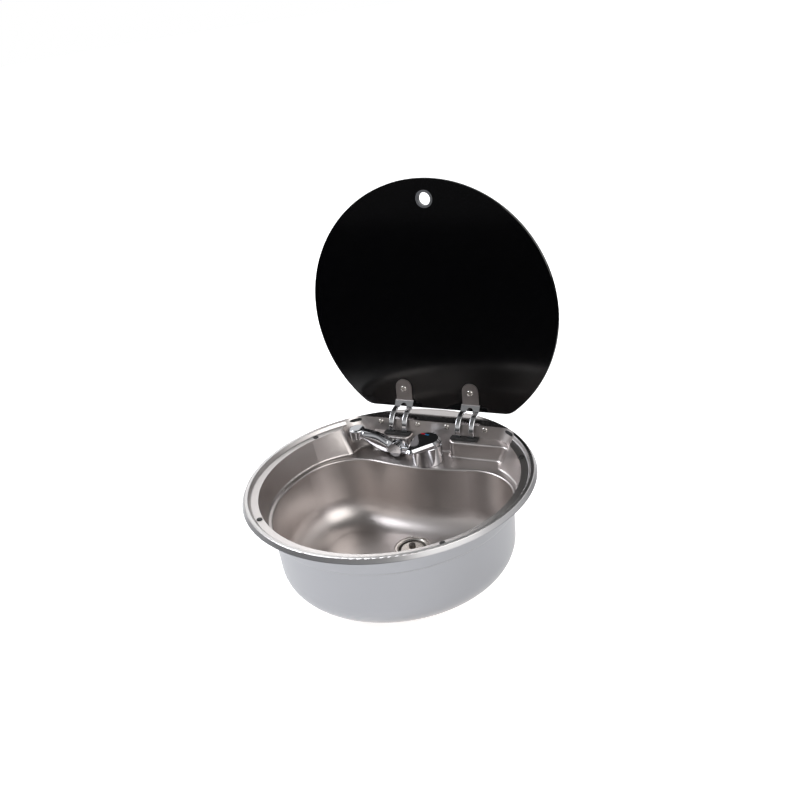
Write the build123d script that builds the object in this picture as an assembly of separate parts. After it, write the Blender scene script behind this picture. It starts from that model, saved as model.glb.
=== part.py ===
from build123d import *
import math
import os

os.makedirs("parts", exist_ok=True)

# Round drop-in sink for a caravan worktop: pressed bowl, glass lid on two sickle hinges, folding tap.
# All lengths in mm. +Z is up, +Y is the hinge side, z = 0 is the worktop under the rim.
# The lid is drawn closed and then opened, so the saved parts stand as the open sink does.

# ---- pressed sheet and rim ----
SHEET = 0.8
RIM_R = 210.0
RIM_LIP_W = 3.6
BEAD_W = 4.2
BEAD_Z = 6.9
GUTTER_W = 3.8
LEDGE_W = 11.2
BEAD_CREST_R = RIM_R - RIM_LIP_W
BEAD_INNER_R = BEAD_CREST_R - BEAD_W
LEDGE_OUT_R = BEAD_INNER_R - GUTTER_W
LEDGE_IN_R = LEDGE_OUT_R - LEDGE_W
RIM_BEND_R = 1.4

# ---- raised rear flat and the wall under it ----
REAR_FLAT_Z = 6.6
WALL_SETBACK = 44.0
REAR_FLAT_W = 21.2
WALL_Y = RIM_R - WALL_SETBACK
REAR_FLAT_Y = WALL_Y - REAR_FLAT_W
WALL_LEAN = 0.263
WELL_CORNER_Y = WALL_Y - 38.427
WELL_HALF = math.sqrt(LEDGE_IN_R ** 2 - WELL_CORNER_Y ** 2)
WELL_SIDE_LEAN = 0.471
WELL_CORNER_R = 28.0
RIDGE_FOOT_Y = WALL_Y - 46.0
FLANK_DEG = 27.0
RIDGE_SOFT = 6.0

# ---- shelf for the hinges, deck for the tap ----
SHELF_Z = -12.4
SHELF_DEPTH = 24.0
SHELF_Y = WALL_Y - SHELF_DEPTH
SHELF_FRONT_LEAN = 0.08
NICHE_HALF = 32.0
SHELF_LEFT_END = 98.0
SHELF_NOSE_R = 11.0
SHELF_COVE_R = 12.0
SHELF_EDGE_R = 3.0
DECK_Z = -37.4
DECK_FOOT_R = 3.6
RING_LEAN = 0.188

# ---- bowl ----
BOWL_SHOULDER_W = 14.2
BOWL_R = LEDGE_IN_R - BOWL_SHOULDER_W
BOWL_LEAN = 0.0436
BOWL_DEPTH = 103.2
BOWL_FILLET = 41.0
EDGE_SETBACK = 65.0
EDGE_MID_Y = WALL_Y - EDGE_SETBACK
EDGE_CREST_Y = EDGE_MID_Y + 8.5
LOBE_R = 80.0
BOWL_EDGE_R = 2.8

# ---- lid ----
GLASS_T = 5.0
GLASS_RING_GAP = 1.0
GLASS_R = LEDGE_OUT_R - GLASS_RING_GAP
GLASS_EDGE_Y = WALL_Y - 7.0
GLASS_CORNER_R = 27.0
GLASS_ARRIS = 0.8
LID_SEAT_Z = 1.8
LID_OPEN_DEG = 97.2
FINGER_INSET = 30.4
FINGER_Y = FINGER_INSET - GLASS_R
FINGER_R = 9.8
GROMMET_WALL = 1.2
GROMMET_LIP = 2.3
GROMMET_LIP_T = 0.9

# ---- lid buffers ----
BUFFER_R = 4.2
BUFFER_RING_R = LEDGE_IN_R + 5.0
BUFFER_REAR_DEG = 30.0
BUFFER_FRONT_DEG = -45.0
LID_REST_GAP = 0.1

# ---- hinges ----
HINGE_X = 55.0
PIVOT_SETBACK = 28.0
PIVOT_Y = RIM_R - PIVOT_SETBACK
PIVOT_Z = -8.0
STRAP_T = 1.6
PAD_T = 0.6
TONGUE_W = 26.5
TONGUE_LEN = 34.5
TONGUE_BEND_Y = PIVOT_Y - 34.0
TONGUE_FRONT_Y = TONGUE_BEND_Y - TONGUE_LEN
SHOULDER_W = 29.5
SHOULDER_GAP = 0.6
LEG_W = 8.0
LEG_PITCH = 22.0
LEG_T = 3.0
LEG_ROUND = 1.2
ARC_R = 25.0
ARC_START_DEG = 176.0
ARC_END_DEG = 305.0
ARCH_W = 11.0
HUB_R = 5.5
PIN_R = 2.5
RUN_GAP = 0.05
FIT_GAP = 0.02
SCREW_INSET = 15.0
SCREW_Y = TONGUE_FRONT_Y + SCREW_INSET
SCREW_R = 2.4
SCREW_HOLE_GAP = 0.3
SCREW_HEAD_R = 4.6
SCREW_HEAD_H = 2.3
NUT_R = 6.0
NUT_H = 3.4

# ---- hinge housing behind the wall ----
PLATE_W = 74.0
PLATE_H = 13.0
PLATE_T = 2.0
EAR_T = 2.5
EAR_GAP = 1.5
WALL_SCREW_PITCH = 62.0
WALL_SCREW_Z = 0.6
WALL_SCREW_R = 2.0
WALL_HEAD_R = 4.0
WALL_HEAD_H = 2.0

# ---- hinge gaskets ----
GASKET_W = 44.0
GASKET_D = 12.0
GASKET_T = 2.0
GASKET_BACK_Y = PIVOT_Y - 21.3
SLOT_GAP = 0.8
SHEET_SLOT_W = 36.0
SHEET_SLOT_D = 7.0
SHEET_SLOT_BACK = GASKET_BACK_Y - 0.5
SHEET_SLOT_FRONT = SHEET_SLOT_BACK - SHEET_SLOT_D
SKIRT_H = 1.4

# ---- tap ----
TAP_X = 5.0
TAP_SETBACK = 41.0
TAP_Y = WALL_Y - TAP_SETBACK
TAP_R = 24.0
TAP_TOP_Z = -8.4
TAP_SEAL_T = 0.6
CORE_FLANGE_T = 2.0
CORE_R = 19.0
SHANK_R = 13.5
SHANK_LEN = 42.0
BACKNUT_R = 19.0
BACKNUT_T = 8.0
BACKNUT_Z = -50.0
INLET_R = 5.0
INLET_PITCH = 14.0
INLET_SPREAD = 38.0
INLET_DROP = 22.0
INLET_BEND_R = 18.0
INLET_SPIGOT = 32.0
INLET_INSET = 12.0
CARTRIDGE_R = 15.0

# ---- tap lever ----
LEVER_DEG = 255.0
LEVER_TOP_Z = -0.2
LEVER_GAP = 0.4
LEVER_CAP_R = 22.6
LEVER_BEVEL = 3.2
LEVER_REACH = 43.0
LEVER_TIP_W = 13.0
LEVER_ROOT_W = 36.0
LEVER_LIFT_DEG = 20.0
LEVER_PIVOT_U = -13.0
LEVER_PIVOT_RISE = 1.6
MARK_U = -11.0
MARK_V = -9.0
MARK_W = 7.0
MARK_D = 3.0

# ---- spout ----
SPOUT_DEG = 174.3
FOLD_U = 52.0
FOLD_Z = -23.4
STUB_R = 6.6
EYE_R = 9.6
EYE_W = 8.0
FORK_W = 18.4
FORK_GAP = 0.3
ARM_MID_W = 14.8
ARM_END_W = 16.4
OUTLET_U = 121.0
OUTLET_R = 12.6
OUTLET_TOP_Z = 0.8
OUTLET_H = 9.2
AERATOR_H = 6.2

# ---- drain ----
DRAIN_SETBACK = 59.0
DRAIN_Y = EDGE_MID_Y - DRAIN_SETBACK
DRAIN_RECESS_R = 27.8
DRAIN_RECESS_H = 1.5
DRAIN_HOLE_R = 21.0
STRAINER_R = 26.6
STRAINER_T = 1.3
STRAINER_BORE_R = 17.5
CUP_R = 25.0
CUP_LEN = 34.0
PLUG_R = 16.6
PLUG_GAP = 0.05
TAIL_R = 12.5
TAIL_REACH = 70.0
TAIL_HOSE_LEN = 30.0
TAIL_STOP_H = 1.6

FLOOR_Z = DECK_Z - BOWL_DEPTH
HINGE_AXIS = Axis((0, PIVOT_Y, PIVOT_Z), (1, 0, 0))


# ---------------------------------------------------------------- helpers
def polar(cx, cy, r, deg):
    """Point at an angle on a circle."""
    return (cx + r * math.cos(math.radians(deg)), cy + r * math.sin(math.radians(deg)))


def arc(cx, cy, r, a0, a1):
    """Circular arc between two angles."""
    return ThreePointArc(polar(cx, cy, r, a0), polar(cx, cy, r, (a0 + a1) / 2), polar(cx, cy, r, a1))


def mirrored(p):
    """The same point on the left half."""
    return (-p[0], p[1])


def toward(a, b, d):
    """Point at a distance d from a on the way to b."""
    n = math.hypot(b[0] - a[0], b[1] - a[1])
    return (a[0] + (b[0] - a[0]) / n * d, a[1] + (b[1] - a[1]) / n * d)


def tube(r_out, r_in, z0, z1):
    """Ring of a given height on the Z axis."""
    body = Pos(0, 0, (z0 + z1) / 2) * Cylinder(r_out, z1 - z0)
    return body - Pos(0, 0, (z0 + z1) / 2) * Cylinder(r_in, z1 - z0 + 1)


def disc(r, z0, z1):
    """Cylinder between two heights on the Z axis."""
    return Pos(0, 0, (z0 + z1) / 2) * Cylinder(r, z1 - z0)


def block(x0, x1, y0, y1, z0, z1):
    """Box from its limits."""
    return Pos((x0 + x1) / 2, (y0 + y1) / 2, (z0 + z1) / 2) * Box(x1 - x0, y1 - y0, z1 - z0)


def rod_x(r, x0, x1, y, z):
    """Cylinder along X."""
    return Pos((x0 + x1) / 2, y, z) * Rot(0, 90, 0) * Cylinder(r, x1 - x0)


def edges_at(shape, z):
    """Flat edges of a shape at one height."""
    return shape.edges().filter_by_position(Axis.Z, z - 0.01, z + 0.01)


def cross_recess(r, depth):
    """Cross cut of a screw head, with its mouth at z = 0."""
    bar = Pos(0, 0, -depth / 2) * Box(r * 1.1, r * 0.24, depth)
    return bar + Rot(0, 0, 90) * bar


# ---------------------------------------------------------------- pressed bowl
def wall_y(z):
    """Face of the leaning back wall at a height."""
    return WALL_Y - WALL_LEAN * (REAR_FLAT_Z - z)


def flank(z, grow):
    """Outline pieces from the round side of the basin to the straight side of the tap well."""
    ring = LEDGE_IN_R - RING_LEAN * (SHEET - z) + grow
    half = WELL_HALF - WELL_SIDE_LEAN * (SHEET - z) + grow
    depth = (SHEET - z) / (SHEET - DECK_Z)
    ridge_top = math.sqrt(LEDGE_IN_R ** 2 - WELL_HALF ** 2)
    ridge = (half, ridge_top + (RIDGE_FOOT_Y - ridge_top) * depth)
    start = polar(0, 0, ring, FLANK_DEG)
    full = polar(0, 0, ring, FLANK_DEG + 8)
    half_way = ((start[0] + ridge[0]) / 2, (start[1] + ridge[1]) / 2)
    bulge = 0.45 + 0.55 * max(0.0, 1 - depth)
    middle = (half_way[0] + (full[0] - half_way[0]) * bulge, half_way[1] + (full[1] - half_way[1]) * bulge)
    before = toward(ridge, middle, RIDGE_SOFT)
    after = (ridge[0], ridge[1] + RIDGE_SOFT)
    nose = ((before[0] + after[0]) / 4 + ridge[0] / 2, (before[1] + after[1]) / 4 + ridge[1] / 2)
    right = [ThreePointArc(start, middle, before), ThreePointArc(before, nose, after)]
    left = [
        ThreePointArc(mirrored(after), mirrored(nose), mirrored(before)),
        ThreePointArc(mirrored(before), mirrored(middle), mirrored(start)),
    ]
    front = ThreePointArc(mirrored(start), (0, -ring), start)
    return half, after, right, left, front


def well_outline(z, grow):
    """Closed outline of the basin opening, tap well included, at a height."""
    half, after, right, left, front = flank(z, grow)
    back = wall_y(z) + grow
    r = WELL_CORNER_R + grow
    rear = [
        Line(after, (half, back - r)),
        arc(half - r, back - r, r, 0, 90),
        Line((half - r, back), (r - half, back)),
        arc(r - half, back - r, r, 90, 180),
        Line((-half, back - r), mirrored(after)),
    ]
    return Pos(0, 0, z) * Wire(right + rear + left + [front])


def shelf_right(z, grow):
    """Outline of the right hinge shelf: round nose at the tap, cove into the side of the well."""
    half = flank(z, grow)[0]
    face = SHELF_Y - SHELF_FRONT_LEAN * (SHELF_Z - z) + grow
    niche = NICHE_HALF + grow
    nose = SHELF_NOSE_R - grow
    cove = SHELF_COVE_R + grow
    cx = half - cove + 0.7
    far = WALL_Y + 24
    return Pos(0, 0, z) * Wire([
        Line((niche + nose, face), (cx, face)),
        arc(cx, face - cove, cove, 90, 0),
        Line((cx + cove, face - cove), (half + 12, face - cove)),
        Line((half + 12, face - cove), (half + 12, far)),
        Line((half + 12, far), (niche, far)),
        Line((niche, far), (niche, face + nose)),
        arc(niche + nose, face + nose, nose, 180, 270),
    ])


def shelf_left(z, grow):
    """Outline of the left hinge shelf, shorter to leave room for the folded spout's outlet."""
    face = SHELF_Y - SHELF_FRONT_LEAN * (SHELF_Z - z) + grow
    niche = NICHE_HALF + grow
    end = SHELF_LEFT_END - grow
    nose = SHELF_NOSE_R - grow
    far = WALL_Y + 24
    return Pos(0, 0, z) * Wire([
        Line((-niche - nose, face), (nose - end, face)),
        arc(nose - end, face + nose, nose, 270, 180),
        Line((-end, face + nose), (-end, far)),
        Line((-end, far), (-niche, far)),
        Line((-niche, far), (-niche, face + nose)),
        arc(-niche - nose, face + nose, nose, 0, -90),
    ])


def bowl_outline(z, grow):
    """Closed outline of the bowl: a ring with an S-shaped rear edge made of tangent arcs."""
    d = grow - BOWL_LEAN * (DECK_Z - z)
    lobe_y = EDGE_CREST_Y - LOBE_R
    lobe_x = math.sqrt((BOWL_R - LOBE_R) ** 2 - lobe_y ** 2)
    rise = EDGE_MID_Y - lobe_y
    waist_r = (lobe_x ** 2 + rise ** 2 - LOBE_R ** 2) / (2 * (LOBE_R - rise))
    joint = toward((0, EDGE_MID_Y + waist_r), (lobe_x, lobe_y), waist_r - d)
    side = toward((0, 0), (lobe_x, lobe_y), BOWL_R + d)
    crest = polar(lobe_x, lobe_y, LOBE_R + d, 50)
    return Pos(0, 0, z) * Wire([
        ThreePointArc(side, crest, joint),
        ThreePointArc(joint, (0, EDGE_MID_Y + d), mirrored(joint)),
        ThreePointArc(mirrored(joint), mirrored(crest), mirrored(side)),
        ThreePointArc(mirrored(side), (0, -BOWL_R - d), side),
    ])


def well_volume(grow):
    """Air inside the well and the upper basin, or, grown by the sheet, the volume in its outer skin."""
    deck = DECK_Z - grow
    shelf = SHELF_Z - grow
    well = Solid.make_loft([well_outline(REAR_FLAT_Z + 3, grow), well_outline(deck, grow)], ruled=True)
    for outline in (shelf_right, shelf_left):
        ledge = Solid.make_loft([outline(shelf, grow), outline(deck - 3, grow)], ruled=True)
        rims = [e for e in edges_at(ledge, shelf) if e.center().Y < WALL_Y + 23 and abs(e.center().X) < WELL_HALF + 1]
        well = well - ledge.fillet(SHELF_EDGE_R - grow, rims)
    return well.solid()


def bowl_volume(top, grow):
    """Tapered bowl with its large bottom radius."""
    low = FLOOR_Z - grow
    bowl = Solid.make_loft([bowl_outline(top, grow), bowl_outline(low, grow)], ruled=True)
    return bowl.fillet(BOWL_FILLET + grow, edges_at(bowl, low))


def brim(shape, z, grow):
    """Edges of the deck opening at a height."""
    mouth = bowl_outline(z, grow)
    return [e for e in edges_at(shape, z) if mouth.distance_to(e @ 0.5) < 0.02]


def rim_ring():
    """Rolled rim: lip on the worktop, bead, step and lid ledge, as one revolved strip."""
    path = FilletPolyline(
        (LEDGE_IN_R - 3, SHEET),
        (LEDGE_OUT_R - 0.4, SHEET),
        (BEAD_INNER_R - 1.4, BEAD_Z - 0.4),
        (BEAD_CREST_R, BEAD_Z),
        (RIM_R, 0),
        radius=RIM_BEND_R,
    )
    strip = path.wire().offset_2d(SHEET, side=Side.RIGHT)
    section = Plane.XZ * make_face(strip)
    return revolve(section, Axis.Z) - Pos(0, 0, -5) * Cylinder(RIM_R + 5, 10)


def basin_skin(air):
    """Sheet of the well, deck and bowl, with every bend rounded on both faces."""
    skin = (well_volume(SHEET) - air).solid()
    skin = skin.fillet(DECK_FOOT_R, edges_at(skin, DECK_Z))
    under = DECK_Z - SHEET
    skin = skin.fillet(DECK_FOOT_R + SHEET, edges_at(skin, under))
    skin = (skin + bowl_volume(DECK_Z, SHEET) - bowl_volume(DECK_Z + 1, 0)).solid()
    skin = skin.fillet(BOWL_EDGE_R, brim(skin, DECK_Z, 0))
    skin = skin.fillet(BOWL_EDGE_R - SHEET, brim(skin, under, SHEET))
    skin = skin - block(-RIM_R, RIM_R, -RIM_R, RIM_R, REAR_FLAT_Z, REAR_FLAT_Z + 9)
    return skin - block(-RIM_R, RIM_R, -RIM_R, REAR_FLAT_Y, SHEET, REAR_FLAT_Z + 9)


def sink_bowl():
    """The whole pressing, with the holes for hinges, tap and drain."""
    air = well_volume(0)
    top = REAR_FLAT_Z
    rear = block(-RIM_R, RIM_R, REAR_FLAT_Y, RIM_R, -2, BEAD_Z + 3)
    rim = rim_ring() - (disc(BEAD_INNER_R - 0.8, -1, BEAD_Z + 2) & rear)
    rim = rim + (disc(BEAD_INNER_R, top - SHEET, top) & rear)
    pressing = (rim - air) + basin_skin(air)
    recess = Pos(0, DRAIN_Y, 0) * disc(DRAIN_RECESS_R + SHEET, FLOOR_Z - DRAIN_RECESS_H - SHEET, FLOOR_Z - SHEET / 2)
    pressing = pressing + recess
    pressing = pressing - Pos(0, DRAIN_Y, 0) * disc(DRAIN_RECESS_R, FLOOR_Z - DRAIN_RECESS_H, FLOOR_Z + 1)
    pressing = pressing - Pos(0, DRAIN_Y, 0) * disc(DRAIN_HOLE_R, FLOOR_Z - 10, FLOOR_Z)
    pressing = pressing - Pos(TAP_X, TAP_Y, 0) * disc(SHANK_R + 0.5, DECK_Z - 10, DECK_Z + 2)
    for side in (-1, 1):
        cx = side * HINGE_X
        half = SHEET_SLOT_W / 2
        slot = block(cx - half, cx + half, SHEET_SLOT_FRONT, SHEET_SLOT_BACK, SHELF_Z - 3, SHELF_Z + 1)
        pressing = pressing - slot
        for step in (-1, 1):
            hole = Cylinder(WALL_SCREW_R + SCREW_HOLE_GAP, 12)
            pressing = pressing - wall_frame(cx + step * WALL_SCREW_PITCH / 2) * hole
    return pressing.solid()


def wall_frame(x):
    """Place on the back wall's front face: local Z leaves the wall, local Y climbs it."""
    n = math.hypot(1, WALL_LEAN)
    origin = (x, wall_y(WALL_SCREW_Z), WALL_SCREW_Z)
    return Plane(origin=origin, x_dir=(1, 0, 0), z_dir=(0, -1 / n, WALL_LEAN / n)).location


# ---------------------------------------------------------------- lid
def lid_outline(z):
    """Lid seen from above: a disc with one straight edge and two round corners."""
    face = Circle(GLASS_R) & (Pos(0, GLASS_EDGE_Y - GLASS_R) * Rectangle(2 * GLASS_R + 2, 2 * GLASS_R))
    corners = [v for v in face.vertices() if v.Y > GLASS_EDGE_Y - 1]
    return Pos(0, 0, z) * fillet(corners, GLASS_CORNER_R)


def lid_glass():
    """Glass pane with ground edges, the finger hole and two screw holes."""
    pane = extrude(lid_outline(LID_SEAT_Z), GLASS_T)
    rims = [e for e in pane.edges() if abs(e.center().Z - LID_SEAT_Z - GLASS_T / 2) > GLASS_T / 2 - 0.1]
    pane = chamfer(rims, GLASS_ARRIS)
    pane = pane - Pos(0, FINGER_Y, 0) * disc(FINGER_R + GROMMET_WALL, 0, 20)
    for side in (-1, 1):
        pane = pane - Pos(side * HINGE_X, SCREW_Y, 0) * disc(SCREW_R + SCREW_HOLE_GAP, 0, 20)
    return pane


def lid_grommet():
    """Ring that lines the finger hole, with a lip on each face."""
    z0 = LID_SEAT_Z
    z1 = LID_SEAT_Z + GLASS_T
    bush = tube(FINGER_R + GROMMET_WALL - FIT_GAP, FINGER_R, z0 - GROMMET_LIP_T, z1 + GROMMET_LIP_T)
    low = tube(FINGER_R + GROMMET_WALL + GROMMET_LIP, FINGER_R, z0 - GROMMET_LIP_T, z0)
    high = tube(FINGER_R + GROMMET_WALL + GROMMET_LIP, FINGER_R, z1, z1 + GROMMET_LIP_T)
    ring = bush + low + high
    outer = [e for e in ring.edges().filter_by(GeomType.CIRCLE) if e.radius > FINGER_R + GROMMET_WALL + 1]
    ends = [e for e in outer if e.center().Z < z0 - 0.1 or e.center().Z > z1 + 0.1]
    return Pos(0, FINGER_Y, 0) * fillet(ends, GROMMET_LIP_T * 0.6)


def lid_buffer(deg):
    """Rubber stud on the lid ledge."""
    top = LID_SEAT_Z - LID_REST_GAP
    stud = Pos(*polar(0, 0, BUFFER_RING_R, deg), 0) * disc(BUFFER_R, SHEET, top)
    return fillet([e for e in stud.edges().filter_by(GeomType.CIRCLE) if e.center().Z > top - 0.1], 0.3)


# ---------------------------------------------------------------- hinges, drawn with the lid closed
def tongue_face(front, back, width):
    """Tongue outline: round front, straight back."""
    r = width / 2
    plate = Pos(0, (front + r + back) / 2) * Rectangle(width, back - front - r)
    return plate + Pos(0, front + r) * Circle(r)


def hinge_pad(side):
    """Soft pad between the tongue and the glass."""
    face = tongue_face(TONGUE_FRONT_Y, TONGUE_BEND_Y, TONGUE_W)
    pad = Pos(side * HINGE_X, 0, LID_SEAT_Z - PAD_T) * extrude(face, PAD_T)
    return pad - Pos(side * HINGE_X, SCREW_Y, 0) * disc(SCREW_R + SCREW_HOLE_GAP, -10, 10)


def leg_profile():
    """Side view of a leg: shoulder, sickle arc, web and hub around the pivot."""
    mid = (ARC_START_DEG + ARC_END_DEG) / 2
    outer = ARC_R + LEG_T / 2
    inner = ARC_R - LEG_T / 2
    band = make_face(Wire([
        arc(PIVOT_Y, PIVOT_Z, outer, ARC_START_DEG, ARC_END_DEG),
        Line(polar(PIVOT_Y, PIVOT_Z, outer, ARC_END_DEG), polar(PIVOT_Y, PIVOT_Z, inner, ARC_END_DEG)),
        arc(PIVOT_Y, PIVOT_Z, inner, ARC_END_DEG, ARC_START_DEG),
        Line(polar(PIVOT_Y, PIVOT_Z, inner, ARC_START_DEG), polar(PIVOT_Y, PIVOT_Z, outer, ARC_START_DEG)),
    ]))
    web = Pos(PIVOT_Y, PIVOT_Z) * Rot(0, 0, ARC_END_DEG) * Pos(outer / 2, 0) * Rectangle(outer, 6)
    hub = Pos(PIVOT_Y, PIVOT_Z) * Circle(HUB_R)
    top = LID_SEAT_Z - PAD_T
    shoulder = make_face(Polyline(
        (TONGUE_BEND_Y - 1, top),
        (TONGUE_BEND_Y + 2.2, top),
        polar(PIVOT_Y, PIVOT_Z, inner, ARC_START_DEG),
        polar(PIVOT_Y, PIVOT_Z, inner, ARC_START_DEG + 6),
        polar(PIVOT_Y, PIVOT_Z, outer, ARC_START_DEG + 6),
        polar(PIVOT_Y, PIVOT_Z, outer, ARC_START_DEG),
        (TONGUE_BEND_Y - 1, top - STRAP_T),
        close=True,
    ))
    return band + web + hub + shoulder


def hinge_strap(side):
    """One-piece hinge: tongue on the glass, shoulder with an arch, two sickle legs to the pivot."""
    top = LID_SEAT_Z - PAD_T
    tongue = extrude(Pos(0, 0, top - STRAP_T) * tongue_face(TONGUE_FRONT_Y, TONGUE_BEND_Y, TONGUE_W), STRAP_T)
    side_view = Plane.YZ * leg_profile()
    wide = extrude(side_view, SHOULDER_W / 2, both=True)
    shoulder = wide & block(-SHOULDER_W, SHOULDER_W, TONGUE_BEND_Y - 1, TONGUE_BEND_Y + 8.4,
                            SHELF_Z + GASKET_T + SHOULDER_GAP, 5)
    arch = Pos(0, TONGUE_BEND_Y + 8.4, -4) * Cylinder(ARCH_W / 2, 20)
    strap = tongue + (shoulder - arch)
    leg = extrude(side_view, LEG_W / 2, both=True)
    curved = [e for e in leg.edges().filter_by(GeomType.CIRCLE) if abs(e.radius - ARC_R - LEG_T / 2) < 0.01]
    leg = fillet(curved, LEG_ROUND)
    for step in (-1, 1):
        strap = strap + Pos(step * LEG_PITCH / 2, 0, 0) * leg
    strap = strap - rod_x(PIN_R + RUN_GAP, -30, 30, PIVOT_Y, PIVOT_Z)
    strap = strap - Pos(0, SCREW_Y, 0) * disc(SCREW_R + SCREW_HOLE_GAP, -10, 10)
    return Pos(side * HINGE_X, 0, 0) * strap.solid()


def lid_screw(side):
    """Pan-head screw through tongue, pad and glass."""
    seat = LID_SEAT_Z - PAD_T - STRAP_T
    head = fillet(disc(SCREW_HEAD_R, seat - SCREW_HEAD_H, seat).edges().group_by(Axis.Z)[0], SCREW_HEAD_H * 0.7)
    shank = disc(SCREW_R, seat - 0.5, LID_SEAT_Z + GLASS_T + NUT_H - 1)
    recess = Pos(0, 0, seat - SCREW_HEAD_H) * Rot(180, 0, 0) * cross_recess(SCREW_HEAD_R, 1.2)
    return Pos(side * HINGE_X, SCREW_Y, 0) * (head + shank - recess)


def lid_nut(side):
    """Low cap nut on the upper face of the glass."""
    seat = LID_SEAT_Z + GLASS_T
    cap = disc(NUT_R, seat, seat + NUT_H)
    cap = fillet(cap.edges().group_by(Axis.Z)[-1], NUT_H * 0.6)
    return Pos(side * HINGE_X, SCREW_Y, 0) * (cap - disc(SCREW_R + FIT_GAP, seat - 1, seat + NUT_H - 1))


def hinge_pin(side):
    """Pivot pin with a head at each end."""
    reach = LEG_PITCH / 2 + LEG_W / 2 + EAR_GAP + EAR_T
    cx = side * HINGE_X
    shaft = rod_x(PIN_R, cx - reach, cx + reach, PIVOT_Y, PIVOT_Z)
    for step in (-1, 1):
        x = cx + step * (reach + 0.8)
        shaft = shaft + rod_x(PIN_R + 1.5, x - 0.8, x + 0.8, PIVOT_Y, PIVOT_Z)
    return shaft


def hinge_housing(side):
    """Plate behind the wall with two ears that carry the pivot pin."""
    cx = side * HINGE_X
    frame = wall_frame(cx)
    plate = Pos(0, -1.5, -SHEET - PLATE_T / 2) * Box(PLATE_W, PLATE_H, PLATE_T)
    plate = frame * fillet(plate.edges().filter_by(Axis.Z), 3)
    ear_in = LEG_PITCH / 2 + LEG_W / 2 + EAR_GAP
    back = wall_y(WALL_SCREW_Z) + SHEET + PLATE_T
    outline = make_face(Polyline(
        (back - 1.0, WALL_SCREW_Z + 3.6),
        (PIVOT_Y, PIVOT_Z + HUB_R),
        (PIVOT_Y, PIVOT_Z - HUB_R),
        (back - 3.2, PIVOT_Z - 0.8),
        close=True,
    )) + Pos(PIVOT_Y, PIVOT_Z) * Circle(HUB_R)
    ear = Plane.YZ * outline
    for step in (-1, 1):
        x = step * (ear_in + EAR_T / 2)
        plate = plate + Pos(cx + x, 0, 0) * extrude(ear, EAR_T / 2, both=True)
    clear = frame * (Pos(0, 0, 8) * Box(PLATE_W + 10, 60, 16 + 2 * SHEET))
    plate = plate - clear - rod_x(PIN_R + FIT_GAP, cx - 30, cx + 30, PIVOT_Y, PIVOT_Z)
    for step in (-1, 1):
        hole = Cylinder(WALL_SCREW_R + FIT_GAP, 12)
        plate = plate - wall_frame(cx + step * WALL_SCREW_PITCH / 2) * hole
    return plate.solid()


def wall_screw(x):
    """Pan-head screw through the back wall into the housing."""
    head = disc(WALL_HEAD_R, 0, WALL_HEAD_H)
    head = fillet(head.edges().group_by(Axis.Z)[-1], WALL_HEAD_H * 0.75)
    shank = disc(WALL_SCREW_R, -SHEET - PLATE_T - 1.5, 0.5)
    return wall_frame(x) * (head + shank - Pos(0, 0, WALL_HEAD_H) * cross_recess(WALL_HEAD_R, 1.1))


def hinge_gasket(side):
    """Black slotted gasket the legs pass through, with a skirt in the shelf's slot."""
    cx = side * HINGE_X
    front = GASKET_BACK_Y - GASKET_D
    top = SHELF_Z + GASKET_T
    pad = block(-GASKET_W / 2, GASKET_W / 2, front, GASKET_BACK_Y, SHELF_Z, top)
    pad = fillet(pad.edges().filter_by(Axis.Z).sort_by(Axis.Y)[0:2], 4)
    pad = fillet(pad.edges().group_by(Axis.Z)[-1], 0.6)
    gap = 0.05
    half = SHEET_SLOT_W / 2 - gap
    skirt = block(-half, half, SHEET_SLOT_FRONT + gap, SHEET_SLOT_BACK - gap, SHELF_Z - SHEET - SKIRT_H, SHELF_Z)
    gasket = pad + skirt
    near = PIVOT_Y - math.sqrt((ARC_R + LEG_T / 2) ** 2 - (top - PIVOT_Z) ** 2) - SLOT_GAP
    back = PIVOT_Y - math.sqrt((ARC_R - LEG_T / 2) ** 2 - (SHELF_Z - SHEET - SKIRT_H - PIVOT_Z) ** 2) + SLOT_GAP
    for step in (-1, 1):
        x = step * LEG_PITCH / 2
        w = LEG_W / 2 + SLOT_GAP
        gasket = gasket - block(x - w, x + w, near, min(back, SHEET_SLOT_BACK - 0.6), SHELF_Z - 6, top + 1)
    return Pos(cx, 0, 0) * gasket.solid()


# ---------------------------------------------------------------- tap
def at_tap(shape):
    """Moves a piece drawn on the Z axis to the tap's axis."""
    return Pos(TAP_X, TAP_Y, 0) * shape


def tap_seal():
    """Flat seal between tap and deck."""
    return at_tap(tube(TAP_R - 0.5, SHANK_R + FIT_GAP, DECK_Z, DECK_Z + TAP_SEAL_T))


def tap_core():
    """Fixed core: foot flange, barrel for the cartridge, hollow shank through the deck."""
    foot = DECK_Z + TAP_SEAL_T
    core = disc(TAP_R, foot, foot + CORE_FLANGE_T)
    core = core + disc(CORE_R, foot, TAP_TOP_Z - 3)
    core = core + disc(SHANK_R, foot - SHANK_LEN, foot)
    core = core - disc(CARTRIDGE_R + FIT_GAP, TAP_TOP_Z - 18, TAP_TOP_Z)
    for step in (-1, 1):
        core = core - Pos(step * INLET_PITCH / 2, 0, 0) * disc(INLET_R + FIT_GAP, foot - SHANK_LEN - 1, foot - INLET_INSET)
    return at_tap(core)


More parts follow.
